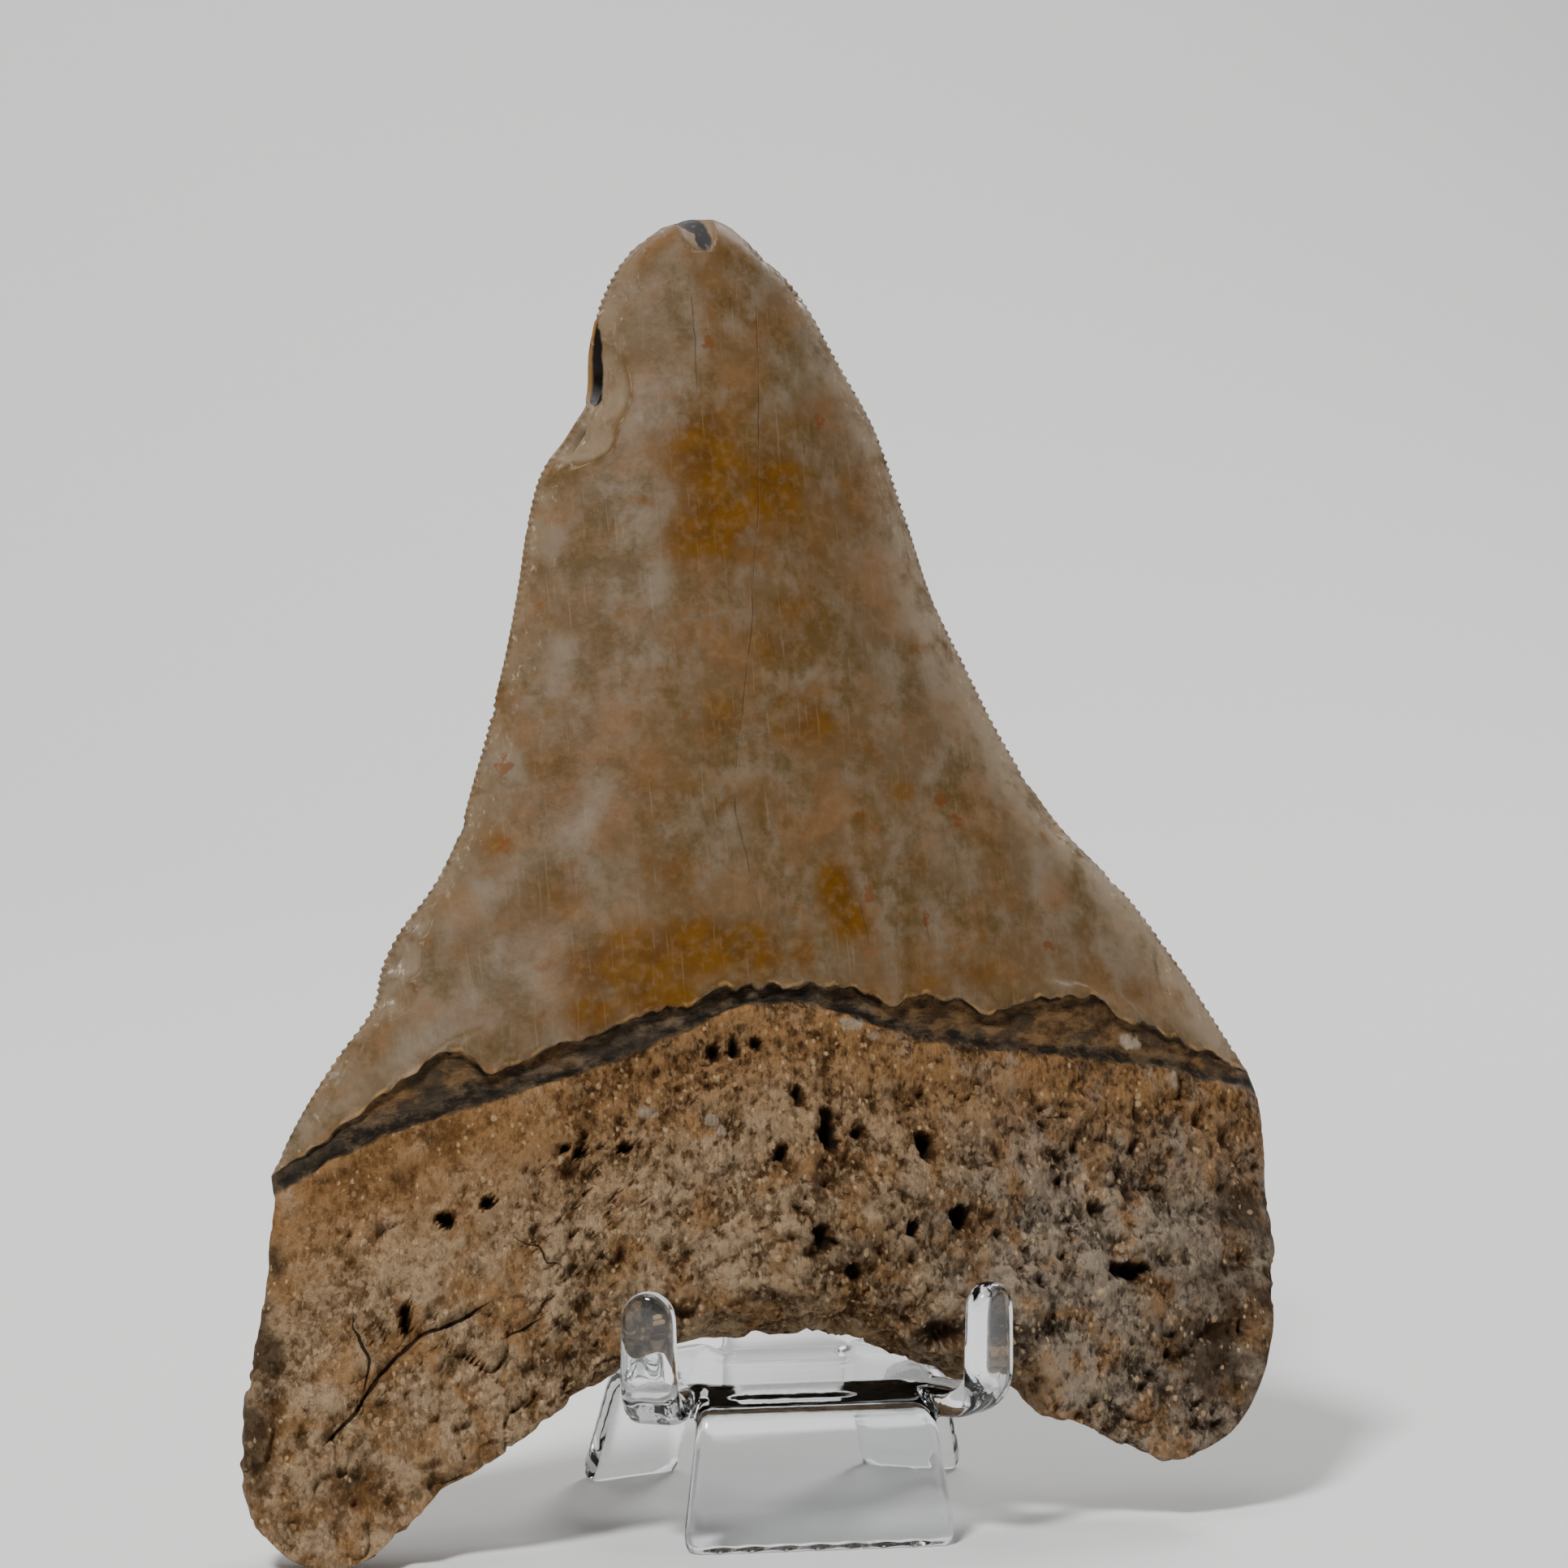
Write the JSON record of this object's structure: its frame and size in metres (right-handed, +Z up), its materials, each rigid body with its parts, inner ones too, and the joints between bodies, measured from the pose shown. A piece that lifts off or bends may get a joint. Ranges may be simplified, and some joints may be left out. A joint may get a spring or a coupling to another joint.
{
  "type": "megalodon_tooth_on_stand",
  "caption": "Fossil megalodon tooth, tip up, with a cracked pitted root and a chipped serrated crown, leaning back on a small clear moulded plastic stand.",
  "frame": {"origin": "bottom centre of the bounding box, on the plane of the stand's feet", "axes": "+Z up along the tooth, -Y towards the viewer of the shown face, +X to the viewer's right"},
  "size_m": [0.0978, 0.0442, 0.117],
  "materials": {
    "fossil": "polished enamel crown, dark band, porous root",
    "clear": "clear, glossy"
  },
  "bodies": {
    "root": {"tooth": "fossil", "stand": "clear"}
  },
  "joints": []
}
